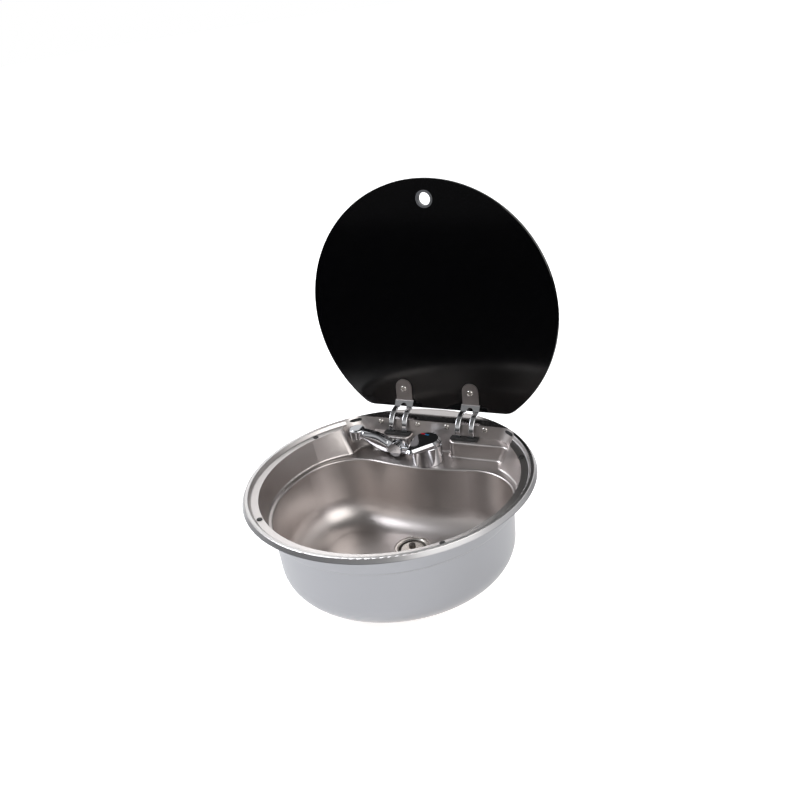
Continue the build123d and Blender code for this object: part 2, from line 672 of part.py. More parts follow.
def tap_sleeve():
    """Turning sleeve around the core with the spout root on its left."""
    z0 = DECK_Z + TAP_SEAL_T + CORE_FLANGE_T + 0.1
    shell = chamfer(disc(TAP_R, z0, TAP_TOP_Z).edges().group_by(Axis.Z)[-1], 0.8)
    stub = Pos(0, 0, FOLD_Z) * Rot(0, 90, 0) * Pos(0, 0, (TAP_R + FOLD_U) / 2 - 2) * Cylinder(STUB_R, FOLD_U - TAP_R)
    eye = Pos(FOLD_U, 0, FOLD_Z) * Rot(90, 0, 0) * Cylinder(EYE_R, EYE_W)
    neck = block(FOLD_U - EYE_R - 6, FOLD_U, -EYE_W / 2, EYE_W / 2, FOLD_Z - STUB_R, FOLD_Z + STUB_R)
    collar = Pos(0, 0, FOLD_Z) * Rot(0, 90, 0) * Pos(0, 0, TAP_R + 1) * Cylinder(STUB_R + 1.6, 4)
    arm = stub + eye + neck + collar
    away = block(FOLD_U - EYE_R - 1.4, FOLD_U + 20, EYE_W / 2, 30, -60, 0)
    arm = arm - away - mirror(away, Plane.XZ)
    arm = arm - Pos(FOLD_U, 0, FOLD_Z) * Rot(90, 0, 0) * Cylinder(PIN_R + RUN_GAP, 40)
    sleeve = shell + Rot(0, 0, SPOUT_DEG) * arm
    return at_tap(sleeve - disc(CORE_R + RUN_GAP, z0 - 1, TAP_TOP_Z + 1)).solid()


def backnut():
    """Hexagonal nut that clamps the tap from below the deck."""
    low = BACKNUT_Z
    nut = extrude(Pos(0, 0, low) * RegularPolygon(BACKNUT_R, 6), BACKNUT_T)
    return at_tap(nut - disc(SHANK_R + FIT_GAP, low - 1, low + BACKNUT_T + 1))


def clamp_washer():
    """Spacer washer between the deck and the back nut."""
    return at_tap(tube(BACKNUT_R + 0.6, SHANK_R + FIT_GAP, BACKNUT_Z + BACKNUT_T, DECK_Z - SHEET))


def cartridge():
    """Ceramic cartridge, its seat in the core, with the turning stem above."""
    low = TAP_TOP_Z - 18
    body = disc(CARTRIDGE_R, low, TAP_TOP_Z - 2.4)
    return at_tap(body - disc(6 + RUN_GAP, TAP_TOP_Z - 9, TAP_TOP_Z))


def stem():
    """Stem the lever turns and lifts on."""
    post = disc(6, TAP_TOP_Z - 9 + RUN_GAP, TAP_TOP_Z - 0.6)
    axle_z = TAP_TOP_Z + LEVER_PIVOT_RISE
    yoke = block(LEVER_PIVOT_U - 2.6, 4, -4, 4, TAP_TOP_Z - 2.3, axle_z + 2.2)
    yoke = fillet(yoke.edges().filter_by(Axis.Y).sort_by(Axis.X)[0:2], 2.2)
    pin = Pos(LEVER_PIVOT_U, 0, axle_z) * Rot(90, 0, 0) * Cylinder(1.5, 15)
    return at_tap(Rot(0, 0, LEVER_DEG) * (post + yoke + pin))


def lever_plan(inset):
    """Lever seen from above: round cap that narrows to the tip."""
    root = LEVER_CAP_R - inset
    tip = LEVER_TIP_W / 2 - inset
    reach = LEVER_REACH - inset
    lean = math.degrees(math.atan2(LEVER_ROOT_W / 2 - LEVER_TIP_W / 2, LEVER_REACH)) * 0.9
    side = polar(0, 0, root, 90 - lean - 18)
    front = (reach, tip * 0.86)
    return Wire([
        Line(side, (reach - tip * 0.5, tip)),
        ThreePointArc((reach - tip * 0.5, tip), front, (reach + 0.8, 0)),
        ThreePointArc((reach + 0.8, 0), (front[0], -front[1]), (reach - tip * 0.5, -tip)),
        Line((reach - tip * 0.5, -tip), (side[0], -side[1])),
        ThreePointArc((side[0], -side[1]), (-root, 0), side),
    ])


def tap_lever():
    """Lever: round cap over the cartridge with a flat-topped, bevelled tongue."""
    low = TAP_TOP_Z + LEVER_GAP
    edge = LEVER_TOP_Z - LEVER_BEVEL
    skirt = Solid.extrude(Face(Pos(0, 0, low) * lever_plan(0)), Vector(0, 0, edge - low))
    bevel = Solid.make_loft([Pos(0, 0, edge) * lever_plan(0), Pos(0, 0, LEVER_TOP_Z) * lever_plan(LEVER_BEVEL)], ruled=True)
    lever = skirt + bevel
    axle_z = TAP_TOP_Z + LEVER_PIVOT_RISE
    room = block(LEVER_PIVOT_U - 4.4, 9, -5, 5, low - 1, axle_z + 4)
    lever = lever - room
    lever = lever - Pos(LEVER_PIVOT_U, 0, axle_z) * Rot(90, 0, 0) * Cylinder(1.5 + RUN_GAP, 18)
    relief = Pos(LEVER_PIVOT_U + 3, 0, low) * Rot(0, LEVER_LIFT_DEG + 2, 0) * block(-40, 0, -40, 40, -20, 0)
    lever = lever - relief
    under = Pos(TAP_R + 2, 0, low) * Rot(0, -10, 0) * block(0, 40, -20, 20, -20, 0)
    lever = lever - under
    pocket = Pos(MARK_U, MARK_V, LEVER_TOP_Z - 0.5) * Box(MARK_D, 2 * MARK_W, 1.02)
    return at_tap(Rot(0, 0, LEVER_DEG) * (lever - pocket)).solid()


def lever_mark(step):
    """Coloured inlay at the rear of the lever's top face."""
    size = (MARK_D - 2 * FIT_GAP, MARK_W - 2 * FIT_GAP)
    mark = Pos(MARK_U, MARK_V + step * MARK_W / 2, LEVER_TOP_Z - 0.5 + FIT_GAP) * Box(*size, 1.0)
    return at_tap(Rot(0, 0, LEVER_DEG) * mark)


def inlet(step):
    """Inlet tail that leaves the shank, spreads sideways and ends in a plain spigot."""
    foot = DECK_Z + TAP_SEAL_T
    start = foot - INLET_INSET
    knee = foot - SHANK_LEN - INLET_BEND_R / 2
    lean = math.atan2((INLET_SPREAD - INLET_PITCH) / 2, INLET_DROP)
    tip = knee - INLET_DROP - INLET_BEND_R * math.tan(lean / 2) - INLET_SPIGOT
    path = Plane.XZ * FilletPolyline(
        (step * INLET_PITCH / 2, start),
        (step * INLET_PITCH / 2, knee),
        (step * INLET_SPREAD / 2, knee - INLET_DROP),
        (step * INLET_SPREAD / 2, tip),
        radius=INLET_BEND_R,
    )
    tail = sweep(Pos(step * INLET_PITCH / 2, 0, start) * Circle(INLET_R), path=path)
    return at_tap(tail.solid())


# ---------------------------------------------------------------- spout
def spout_section(u, half, z0, z1):
    """Six-sided section of the arm at a distance from the tap's axis."""
    mid = (z0 + z1) / 2
    flat = half * 0.5
    corners = [(flat, z1), (half, mid + (z1 - mid) * 0.25), (half * 0.9, mid - (mid - z0) * 0.45), (flat * 0.8, z0)]
    left = [(-y, z) for y, z in reversed(corners)]
    pts = [Vector(u, y, z) for y, z in corners + left]
    return Wire.make_polygon(pts, close=True)


def spout_arm():
    """Folding arm: fork at the knuckle, faceted taper, round outlet barrel."""
    start = FOLD_U + 6
    taper = Solid.make_loft([
        spout_section(start, FORK_W / 2 - 0.4, FOLD_Z - 9.4, FOLD_Z + 11),
        spout_section(FOLD_U + 32, ARM_MID_W / 2, FOLD_Z - 4.6, FOLD_Z + 21),
        spout_section(OUTLET_U - 5, ARM_END_W / 2, OUTLET_TOP_Z - 14.2, OUTLET_TOP_Z - 0.3),
    ], ruled=True)
    cheek = Pos(FOLD_U, 0, FOLD_Z) * Rot(90, 0, 0) * Cylinder(EYE_R + 1, FORK_W)
    top = OUTLET_TOP_Z
    barrel = disc(OUTLET_R, top - OUTLET_H, top)
    barrel = fillet(barrel.edges().group_by(Axis.Z)[-1], 3.2)
    arm = taper + cheek + Pos(OUTLET_U, 0, 0) * barrel
    gap = EYE_W / 2 + FORK_GAP
    slot = Pos(FOLD_U, 0, FOLD_Z) * Rot(90, 0, 0) * Cylinder(EYE_R + 1.6, 2 * gap)
    slot = slot + block(FOLD_U - 30, FOLD_U, -gap, gap, FOLD_Z - 12, FOLD_Z + 12)
    slot = slot + block(FOLD_U - 4, FOLD_U + 7, -gap, gap, FOLD_Z - 14, FOLD_Z)
    arm = arm - slot - block(FOLD_U - 30, FOLD_U - EYE_R - 1.1, -30, 30, -50, 10)
    arm = arm - Pos(FOLD_U, 0, FOLD_Z) * Rot(90, 0, 0) * Cylinder(PIN_R + FIT_GAP, 40)
    arm = arm - Pos(OUTLET_U, 0, 0) * disc(OUTLET_R + FORK_GAP, top - OUTLET_H - 20, top - OUTLET_H)
    return at_tap(Rot(0, 0, SPOUT_DEG) * arm.solid())


def spout_pin():
    """Pin of the folding joint."""
    pin = Pos(FOLD_U, 0, FOLD_Z) * Rot(90, 0, 0) * Cylinder(PIN_R, FORK_W + 0.6)
    return at_tap(Rot(0, 0, SPOUT_DEG) * pin)


def spout_aerator():
    """Aerator screwed into the outlet barrel, with a mesh plate set back in its mouth."""
    top = OUTLET_TOP_Z - OUTLET_H
    low = top - AERATOR_H
    ring = disc(OUTLET_R - 0.3, low, top - 0.4) + disc(OUTLET_R - 1.2, low, top)
    ring = chamfer(ring.edges().group_by(Axis.Z)[0], 0.7)
    ring = ring - disc(OUTLET_R - 3, low - 1, low + 2)
    return at_tap(Rot(0, 0, SPOUT_DEG) * (Pos(OUTLET_U, 0, 0) * ring))


# ---------------------------------------------------------------- drain
def at_drain(shape):
    """Moves a piece drawn on the Z axis to the drain's axis."""
    return Pos(0, DRAIN_Y, 0) * shape


DRAIN_SEAT_Z = FLOOR_Z - DRAIN_RECESS_H
UNDER_Z = DRAIN_SEAT_Z - SHEET
DRAIN_SEAL_T = 2.0


def drain_flange():
    """Drain flange with a dished bore, seated in the floor's recess."""
    top = DRAIN_SEAT_Z + STRAINER_T
    part = disc(STRAINER_R, DRAIN_SEAT_Z, top) + disc(DRAIN_HOLE_R - 0.3, DRAIN_SEAT_Z - 9, DRAIN_SEAT_Z)
    part = fillet(part.edges().group_by(Axis.Z)[-1], 0.8)
    dish = Pos(0, 0, top) * Cone(STRAINER_BORE_R, STRAINER_R - 3.5, 3, align=(Align.CENTER, Align.CENTER, Align.MAX))
    part = part - dish - disc(STRAINER_BORE_R, DRAIN_SEAT_Z - 6, top)
    for k in range(6):
        part = part - Pos(*polar(0, 0, 11, 60 * k), 0) * disc(3.4, DRAIN_SEAT_Z - 12, top)
    part = part - disc(2.6, DRAIN_SEAT_Z - 12, top)
    return at_drain(part)


def drain_seal():
    """Soft ring between the floor and the waste cup."""
    return at_drain(tube(CUP_R, DRAIN_HOLE_R, UNDER_Z - DRAIN_SEAL_T, UNDER_Z))


def drain_cup():
    """Waste cup under the floor with the tail for the drain hose."""
    top = UNDER_Z - DRAIN_SEAL_T
    low = top - CUP_LEN
    wall = 2.0
    tail_z = low + TAIL_R + TAIL_STOP_H + 0.6
    cup = disc(CUP_R, low, top)
    cup = fillet(cup.edges().group_by(Axis.Z)[0], 4)
    root = disc(TAIL_R + TAIL_STOP_H, 0, TAIL_REACH - TAIL_HOSE_LEN)
    cup = cup + Pos(0, 0, tail_z) * Rot(90, 0, 0) * (root + disc(TAIL_R, 0, TAIL_REACH))
    room = disc(DRAIN_HOLE_R + 0.6, low + wall, top + 1)
    bore = Pos(0, 0, tail_z) * Rot(90, 0, 0) * disc(TAIL_R - wall, 0, TAIL_REACH + 1)
    boss = disc(5, low + wall - 0.5, top - 12)
    return at_drain((cup - room - bore) + boss - disc(2.6, low + wall + 2, top)).solid()


def drain_screw():
    """Long screw that pulls the flange and the cup together."""
    seat = DRAIN_SEAT_Z - 6
    top = seat + 2.2
    low = UNDER_Z - DRAIN_SEAL_T - CUP_LEN + 6
    return at_drain(disc(4.6, seat, top) + disc(2.5, low, seat) - Pos(0, 0, top) * cross_recess(4.6, 1.2))


def drain_plug():
    """Plug that drops into the drain bore, with a knob on top."""
    top = DRAIN_SEAT_Z + STRAINER_T
    low = DRAIN_SEAT_Z - 3.4
    body = disc(PLUG_R, low, top - 1.4)
    body = fillet(body.edges().group_by(Axis.Z)[-1], 0.8)
    body = body + disc(STRAINER_BORE_R - PLUG_GAP, top - 4.2, top - 3.0)
    knob = fillet(disc(5.2, top - 2, top + 6).edges().group_by(Axis.Z)[-1], 2.4)
    return at_drain(body + knob)


# ---------------------------------------------------------------- assembly
def build_parts():
    """All parts by name; the lid's parts are swung open."""
    fixed = {
        "sink_bowl": sink_bowl(),
        "buffer_rear_left": lid_buffer(180 - BUFFER_REAR_DEG),
        "buffer_rear_right": lid_buffer(BUFFER_REAR_DEG),
        "buffer_front_left": lid_buffer(180 - BUFFER_FRONT_DEG),
        "buffer_front_right": lid_buffer(BUFFER_FRONT_DEG),
        "tap_seal": tap_seal(),
        "tap_core": tap_core(),
        "tap_sleeve": tap_sleeve(),
        "tap_backnut": backnut(),
        "tap_washer": clamp_washer(),
        "tap_cartridge": cartridge(),
        "lever_stem": stem(),
        "tap_lever": tap_lever(),
        "lever_mark_hot": lever_mark(-1),
        "lever_mark_cold": lever_mark(1),
        "inlet_left": inlet(-1),
        "inlet_right": inlet(1),
        "spout_arm": spout_arm(),
        "spout_pin": spout_pin(),
        "spout_aerator": spout_aerator(),
        "drain_flange": drain_flange(),
        "drain_seal": drain_seal(),
        "drain_cup": drain_cup(),
        "drain_screw": drain_screw(),
        "drain_plug": drain_plug(),
    }
    moving = {"lid_glass": lid_glass(), "lid_grommet": lid_grommet()}
    for side, name in ((-1, "left"), (1, "right")):
        moving["hinge_strap_" + name] = hinge_strap(side)
        moving["hinge_pad_" + name] = hinge_pad(side)
        moving["lid_screw_" + name] = lid_screw(side)
        moving["lid_nut_" + name] = lid_nut(side)
        fixed["hinge_gasket_" + name] = hinge_gasket(side)
        fixed["hinge_housing_" + name] = hinge_housing(side)
        fixed["hinge_pin_" + name] = hinge_pin(side)
        for step, end in ((-1, "outer"), (1, "inner")):
            x = side * (HINGE_X - step * WALL_SCREW_PITCH / 2)
            fixed["wall_screw_" + name + "_" + end] = wall_screw(x)
    for name, part in moving.items():
        fixed[name] = part.rotate(HINGE_AXIS, -LID_OPEN_DEG)
    return fixed


for node, part in build_parts().items():
    export_step(part, os.path.join("parts", node + ".step"))
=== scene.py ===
"""Looks for a round drop-in caravan sink with a hinged glass lid.

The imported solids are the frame. This script gives each of them its finish, adds the
fine pieces that a maker's drawing leaves out, and sets the studio and the camera.
"""

import logging
import math
from dataclasses import dataclass
from enum import Enum
from typing import ClassVar

import bmesh
import bpy
import numpy as np
from mathutils import Matrix


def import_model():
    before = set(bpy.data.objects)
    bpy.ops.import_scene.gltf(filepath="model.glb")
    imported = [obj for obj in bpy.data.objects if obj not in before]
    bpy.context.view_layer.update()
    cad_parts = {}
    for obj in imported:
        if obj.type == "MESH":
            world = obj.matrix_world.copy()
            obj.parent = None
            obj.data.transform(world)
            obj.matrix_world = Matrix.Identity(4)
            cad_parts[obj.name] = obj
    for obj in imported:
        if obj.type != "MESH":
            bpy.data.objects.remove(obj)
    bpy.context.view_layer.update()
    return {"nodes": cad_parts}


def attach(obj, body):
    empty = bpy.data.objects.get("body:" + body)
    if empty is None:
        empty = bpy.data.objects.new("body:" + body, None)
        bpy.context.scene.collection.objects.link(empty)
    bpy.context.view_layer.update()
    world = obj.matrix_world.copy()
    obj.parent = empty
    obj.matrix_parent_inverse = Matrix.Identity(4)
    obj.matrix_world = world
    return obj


LOG = logging.getLogger("caravan_sink")
MM = 0.001


def linear(code: str) -> tuple[float, float, float, float]:
    """Turn an sRGB hex colour into linear light.

    Args:
        code: Six hex digits after a hash, such as "#8A8177".

    Returns:
        Red, green, blue and an alpha of one.
    """
    parts = [int(code[i:i + 2], 16) / 255 for i in (1, 3, 5)]
    light = [c / 12.92 if c <= 0.04045 else ((c + 0.055) / 1.055) ** 2.4 for c in parts]
    return (light[0], light[1], light[2], 1.0)


def add_node(tree: bpy.types.NodeTree, kind: str, settings: dict | None = None,
             links: dict | None = None) -> bpy.types.Node:
    """Add one node to a tree.

    Args:
        tree: The node tree that takes the node.
        kind: The node's type name, such as "ShaderNodeBsdfPrincipled".
        settings: Values by socket name or number, or by attribute name after a dot.
        links: Output sockets by the name or number of the input that they feed.

    Returns:
        The new node.
    """
    node = tree.nodes.new(kind)
    for key, value in (settings or {}).items():
        if isinstance(key, str) and key.startswith("."):
            setattr(node, key[1:], value)
        else:
            node.inputs[key].default_value = value
    for key, socket in (links or {}).items():
        tree.links.new(socket, node.inputs[key])
    return node


def new_material(name: str) -> bpy.types.Material:
    """Make an empty node material.

    Args:
        name: The material's name.

    Returns:
        The material, with no node in it.
    """
    material = bpy.data.materials.new(name)
    material.use_nodes = True
    material.node_tree.nodes.clear()
    return material


def mesh_from_grid(name: str, grid: np.ndarray, wrap: bool = False,
                   merge: bool = False) -> bpy.types.Object:
    """Skin a grid of points with four-sided faces.

    Args:
        name: The object's name.
        grid: Points in metres, rows by columns by three.
        wrap: True where the last column joins the first.
        merge: True where rows meet in a pole or a closed section, whose points become one.

    Returns:
        The new object, with smooth faces.
    """
    rows, columns = grid.shape[:2]
    number = np.arange(rows * columns).reshape(rows, columns)
    if wrap:
        number = np.concatenate([number, number[:, :1]], axis=1)
    quads = np.stack([number[:-1, :-1], number[:-1, 1:], number[1:, 1:], number[1:, :-1]],
                     axis=-1)
    mesh = bpy.data.meshes.new(name)
    mesh.from_pydata(grid.reshape(-1, 3).tolist(), [], quads.reshape(-1, 4).tolist())
    if merge:
        shell = bmesh.new()
        shell.from_mesh(mesh)
        bmesh.ops.remove_doubles(shell, verts=shell.verts, dist=1e-7)
        bmesh.ops.recalc_face_normals(shell, faces=shell.faces)
        shell.to_mesh(mesh)
        shell.free()
    mesh.polygons.foreach_set("use_smooth", np.ones(len(mesh.polygons), bool))
    mesh.update()
    made = bpy.data.objects.new(name, mesh)
    bpy.context.scene.collection.objects.link(made)
    return made


def cut_corners(values: np.ndarray, rounds: int, closed: bool) -> np.ndarray:
    """Soften a run of values by cutting its corners.

    Each round replaces a corner by two points a quarter of a side away.

    Args:
        values: The run, in order.
        rounds: How many times the corners are cut.
        closed: True where the last value leads back to the first.

    Returns:
        A longer, smoother run that keeps its ends where it is open.
    """
    for _ in range(rounds):
        after = np.roll(values, -1) if closed else values[1:]
        before = values if closed else values[:-1]
        cut = np.stack([0.75 * before + 0.25 * after, 0.25 * before + 0.75 * after],
                       axis=-1).ravel()
        values = cut if closed else np.concatenate([values[:1], cut[1:-1], values[-1:]])
    return values


def stand(name: str, data: bpy.types.ID, axes: np.ndarray, spot: np.ndarray) -> bpy.types.Object:
    """Put a camera or a lamp into the scene.

    Args:
        name: The object's name.
        data: The camera's or the lamp's data.
        axes: Its right, up and back vectors, as rows.
        spot: Its place, in metres.

    Returns:
        The new object.
    """
    body = bpy.data.objects.new(name, data)
    bpy.context.scene.collection.objects.link(body)
    matrix = np.eye(4)
    matrix[:3, :3] = axes.T
    matrix[:3, 3] = spot
    body.matrix_world = Matrix(matrix.tolist())
    return body


class Zone(Enum):
    """The part of a piece that wears a look of its own."""

    # Painted shade: the sheet's outside is given a darker, cooler mirror colour than its inside.
    OUTSIDE_PAINTED_SHADE = "side that faces away from the sink's axis"
    ABOVE = "all above a height"
    # Painted highlight: the upturned crest is given a lighter mirror colour, besides its smoother
    # polish.
    CREST_PAINTED_HIGHLIGHT = "what lies above a height and faces up"
    REAR_FLAT = "what lies above a height, is level and lies behind the lid's edge"


@dataclass(frozen=True)
class Look:
    """A second look that part of a metal piece wears.

    Attributes:
        zone: Where the look is worn.
        colour: The mirror colour there, as sRGB hex.
        roughness: The mean roughness there.
        level_mm: The height where a look above a level starts.
        outward: How far a side turns outward where the outer look, a painted shade, fades in.
        upward: How far a face turns upward where each upper look fades in.
        rear_mm: The places along y where the rear look fades in.
        fade_mm: How far a look above a level fades to either side of it.
    """

    zone: Zone
    colour: str
    roughness: float
    level_mm: float = 0.0
    outward: ClassVar[tuple[float, float]] = (0.5, 0.9)
    upward: ClassVar[dict[Zone, tuple[float, float]]] = {Zone.CREST_PAINTED_HIGHLIGHT: (0.24, 0.74),
                                                         Zone.REAR_FLAT: (0.96, 0.995)}
    rear_mm: ClassVar[tuple[float, float]] = (90.0, 120.0)
    fade_mm: ClassVar[float] = 0.4

    def mask(self, tree: bpy.types.NodeTree,
             place: bpy.types.NodeSocket) -> bpy.types.NodeSocket:
        """Work out the look's share from the piece's own place and slope.

        Args:
            tree: The material's nodes.
            place: The socket with the point on the piece.

        Returns:
            A socket that is one inside the zone and zero outside it.
        """
        slope = add_node(tree, "ShaderNodeTexCoord").outputs["Normal"]
        if self.zone is Zone.OUTSIDE_PAINTED_SHADE:
            flat = add_node(tree, "ShaderNodeVectorMath", {".operation": "MULTIPLY", 1: (1, 1, 0)},
                            {0: place})
            ray = add_node(tree, "ShaderNodeVectorMath", {".operation": "NORMALIZE"},
                           {0: flat.outputs[0]})
            dot = add_node(tree, "ShaderNodeVectorMath", {".operation": "DOT_PRODUCT"},
                           {0: ray.outputs[0], 1: slope})
            return add_node(tree, "ShaderNodeMapRange",
                            {"From Min": self.outward[0], "From Max": self.outward[1]},
                            {"Value": dot.outputs["Value"]}).outputs[0]
        spot = add_node(tree, "ShaderNodeSeparateXYZ", None, {0: place})
        above = add_node(tree, "ShaderNodeMapRange",
                         {"From Min": (self.level_mm - self.fade_mm) * MM,
                          "From Max": (self.level_mm + self.fade_mm) * MM},
                         {"Value": spot.outputs[2]}).outputs[0]
        if self.zone is Zone.ABOVE:
            return above
        least, full = self.upward[self.zone]
        turn = add_node(tree, "ShaderNodeSeparateXYZ", None, {0: slope})
        facing = add_node(tree, "ShaderNodeMapRange", {"From Min": least, "From Max": full},
                          {"Value": turn.outputs[2]})
        share = add_node(tree, "ShaderNodeMath", {".operation": "MULTIPLY"},
                         {0: above, 1: facing.outputs[0]}).outputs[0]
        if self.zone is Zone.CREST_PAINTED_HIGHLIGHT:
            return share
        behind = add_node(tree, "ShaderNodeMapRange",
                          {"From Min": self.rear_mm[0] * MM, "From Max": self.rear_mm[1] * MM},
                          {"Value": spot.outputs[1]})
        return add_node(tree, "ShaderNodeMath", {".operation": "MULTIPLY"},
                        {0: share, 1: behind.outputs[0]}).outputs[0]


@dataclass(frozen=True)
class Grained:
    """What the nodes of every finish start from.

    Attributes:
        place: The point on the piece.
        tint: The colour.
        rough: The roughness.
        normal: The grain's relief.
    """

    place: bpy.types.NodeSocket
    tint: bpy.types.NodeSocket
    rough: bpy.types.NodeSocket
    normal: bpy.types.NodeSocket


@dataclass(frozen=True)
class Surface:
    """Two close colours, a roughness that wanders and a fine grain.

    Attributes:
        name: The finish in a maker's words.
        colour: A metal's mirror colour or another stuff's body colour, as sRGB hex.
        shade: The colour of its duller patches, as sRGB hex.
        roughness: The mean roughness, from 0 for a mirror.
        drift: How far the roughness wanders to either side.
        grain_mm: The size of the surface's grain, in millimetres.
        relief: The height of the grain as a share of its size.
        stretch: How much longer the grain is along each axis.
        grain_noise: The settings of the grain's noise.
        patch_noise: The settings of the patches' noise.
        patch_mm: The size of the duller patches, in millimetres.
        bump: The strength of the relief.
    """

    name: str
    colour: str
    shade: str
    roughness: float
    drift: float = 0.04
    grain_mm: float = 0.8
    relief: float = 0.03
    stretch: tuple[float, float, float] = (1.0, 1.0, 1.0)
    grain_noise: ClassVar[dict[str, float]]
    patch_noise: ClassVar[dict[str, float]]
    patch_mm: ClassVar[float]
    bump: ClassVar[float]

    def grained(self, tree: bpy.types.NodeTree) -> Grained:
        """Let the grain drive relief and roughness, and slow noise drive the colour.

        Args:
            tree: The material's nodes.

        Returns:
            The sockets that a shader takes.
        """
        place = add_node(tree, "ShaderNodeTexCoord").outputs["Object"]
        turned = add_node(tree, "ShaderNodeMapping",
                          {"Scale": tuple(1.0 / s for s in self.stretch)}, {"Vector": place})
        grain = add_node(tree, "ShaderNodeTexNoise",
                         {"Scale": 1.0 / (self.grain_mm * MM), **self.grain_noise},
                         {"Vector": turned.outputs[0]}).outputs["Fac"]
        patches = add_node(tree, "ShaderNodeTexNoise",
                           {"Scale": 1.0 / (self.patch_mm * MM), **self.patch_noise},
                           {"Vector": place})
        tint = add_node(tree, "ShaderNodeMix",
                        {".data_type": "RGBA", 6: linear(self.shade), 7: linear(self.colour)},
                        {0: patches.outputs["Fac"]})
        rough = add_node(tree, "ShaderNodeMapRange",
                         {"From Min": 0.3, "From Max": 0.7,
                          "To Min": self.roughness - self.drift,
                          "To Max": self.roughness + self.drift}, {"Value": grain})
        normal = add_node(tree, "ShaderNodeBump",
                          {"Strength": self.bump,
                           "Distance": self.grain_mm * self.relief * MM}, {"Height": grain})
        return Grained(place, tint.outputs[2], rough.outputs[0], normal.outputs[0])


@dataclass(frozen=True)
class MetalFinish(Surface):
    """A bare or plated metal.

    Attributes:
        looks: Other looks that parts of the piece wear, each over the one before.
    """

    looks: tuple[Look, ...] = ()
    grain_noise: ClassVar[dict[str, float]] = {"Detail": 3.0, "Roughness": 0.6}
    patch_noise: ClassVar[dict[str, float]] = {"Detail": 4.0, "Roughness": 0.55}
    patch_mm: ClassVar[float] = 45.0
    bump: ClassVar[float] = 0.35

    def material(self) -> bpy.types.Material:
        """Build the metal and lay its other looks over it.

        Returns:
            The finished material.
        """
        made = new_material(self.name)
        tree = made.node_tree
        base = self.grained(tree)
        tint, rough = base.tint, base.rough
        for worn in self.looks:
            share = worn.mask(tree, base.place)
            tint = add_node(tree, "ShaderNodeMix",
                            {".data_type": "RGBA", 7: linear(worn.colour)},
                            {0: share, 6: tint}).outputs[2]
            rough = add_node(tree, "ShaderNodeMapRange", {"To Max": worn.roughness},
                             {"Value": share, "To Min": rough}).outputs[0]
        shader = add_node(tree, "ShaderNodeBsdfPrincipled", {"Metallic": 1.0},
                          {"Base Color": tint, "Roughness": rough, "Normal": base.normal})
        add_node(tree, "ShaderNodeOutputMaterial", None, {"Surface": shader.outputs[0]})
        return made


@dataclass(frozen=True)
class MouldedFinish(Surface):
    """A rubber, plastic or glass part.

    Attributes:
        ior: The refractive index of the stuff.
    """

    ior: float = 1.5
    grain_noise: ClassVar[dict[str, float]] = {"Detail": 2.0}
    patch_noise: ClassVar[dict[str, float]] = {"Detail": 3.0}
    patch_mm: ClassVar[float] = 30.0
    bump: ClassVar[float] = 0.4

    def material(self) -> bpy.types.Material:
        """Build the moulding.

        Returns:
            The finished material.
        """
        made = new_material(self.name)
        tree = made.node_tree
        base = self.grained(tree)
        shader = add_node(tree, "ShaderNodeBsdfPrincipled", {"IOR": self.ior},
                          {"Base Color": base.tint, "Roughness": base.rough,
                           "Normal": base.normal})
        add_node(tree, "ShaderNodeOutputMaterial", None, {"Surface": shader.outputs[0]})
        return made


